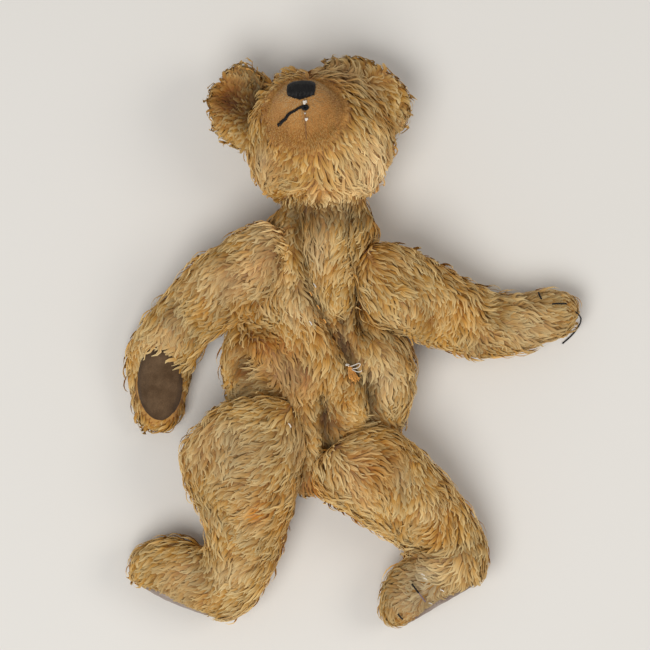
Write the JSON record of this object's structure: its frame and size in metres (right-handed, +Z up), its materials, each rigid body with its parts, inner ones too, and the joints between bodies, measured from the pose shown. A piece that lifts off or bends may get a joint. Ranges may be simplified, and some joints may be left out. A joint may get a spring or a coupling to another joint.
{
  "type": "teddy bear",
  "caption": "Old jointed mohair teddy bear, worn and half empty of stuffing, lying on its back with its limbs spread, its eyes lost.",
  "frame": {"origin": "on the surface that the bear lies on, under the middle of the laid-out bear", "axes": "+Z up from the surface, +Y towards the bear's head, +X towards the bear's left hand"},
  "size_m": [0.3991, 0.495, 0.1465],
  "materials": {
    "mohair": "crushed and worn mohair pile",
    "wood_wool": "rough shavings",
    "cardboard": "pressed card",
    "steel": "dull",
    "brown_felt": "worn brown felt",
    "grey_felt": "worn grey felt",
    "black_floss": "dull cotton floss",
    "mending_thread": "cotton thread"
  },
  "bodies": {
    "torso": {"torso_cover": "mohair", "torso_stuffing": "wood_wool", "upper_mending_thread": "mending_thread", "lower_mending_thread": "mending_thread", "neck_inner_disc": "cardboard", "neck_inner_washer": "steel", "right_shoulder_inner_disc": "cardboard", "right_shoulder_inner_washer": "steel", "left_shoulder_inner_disc": "cardboard", "left_shoulder_inner_washer": "steel", "right_hip_inner_disc": "cardboard", "right_hip_inner_washer": "steel", "left_hip_inner_disc": "cardboard", "left_hip_inner_washer": "steel"},
    "head": {"head_cover": "mohair", "head_stuffing": "wood_wool", "right_ear": "mohair", "left_ear": "mohair", "nose_stitching": "black_floss", "mouth_thread": "black_floss", "neck_outer_disc": "cardboard", "neck_outer_washer": "steel", "neck_pin": "steel"},
    "right_arm": {"right_arm_cover": "mohair", "right_arm_stuffing": "wood_wool", "right_paw_pad": "brown_felt", "right_shoulder_outer_disc": "cardboard", "right_shoulder_outer_washer": "steel", "right_shoulder_pin": "steel"},
    "left_arm": {"left_arm_cover": "mohair", "left_arm_stuffing": "wood_wool", "left_paw_pad": "brown_felt", "left_paw_claw_1": "black_floss", "left_paw_claw_2": "black_floss", "left_paw_loose_thread": "black_floss", "left_shoulder_outer_disc": "cardboard", "left_shoulder_outer_washer": "steel", "left_shoulder_pin": "steel"},
    "right_leg": {"right_leg_cover": "mohair", "right_leg_stuffing": "wood_wool", "right_foot_pad": "grey_felt", "right_hip_outer_disc": "cardboard", "right_hip_outer_washer": "steel", "right_hip_pin": "steel"},
    "left_leg": {"left_leg_cover": "mohair", "left_leg_stuffing": "wood_wool", "left_foot_pad": "grey_felt", "left_foot_claw_1": "black_floss", "left_foot_claw_2": "black_floss", "left_hip_outer_disc": "cardboard", "left_hip_outer_washer": "steel", "left_hip_pin": "steel"}
  },
  "joints": [
    {"name": "neck", "type": "hinge", "parent": "torso", "child": "head", "pos_m": [-0.027, 0.132, 0.056], "axis": [0.02, 0.9505, -0.3102], "range_deg": [-60, 60]},
    {"name": "right_shoulder", "type": "hinge", "parent": "torso", "child": "right_arm", "pos_m": [-0.075, 0.066, 0.052], "axis": [-0.6409, 0.2003, 0.741], "range_deg": [-90, 5]},
    {"name": "left_shoulder", "type": "hinge", "parent": "torso", "child": "left_arm", "pos_m": [0.015, 0.045, 0.054], "axis": [0.7003, 0.2001, 0.6853], "range_deg": [-150, 75]},
    {"name": "right_hip", "type": "hinge", "parent": "torso", "child": "right_leg", "pos_m": [-0.079, -0.082, 0.037], "axis": [-0.4097, -0.3198, 0.8543], "range_deg": [-55, 20]},
    {"name": "left_hip", "type": "hinge", "parent": "torso", "child": "left_leg", "pos_m": [0.001, -0.102, 0.0425], "axis": [0.3409, -0.3509, 0.8722], "range_deg": [-35, 70]}
  ]
}
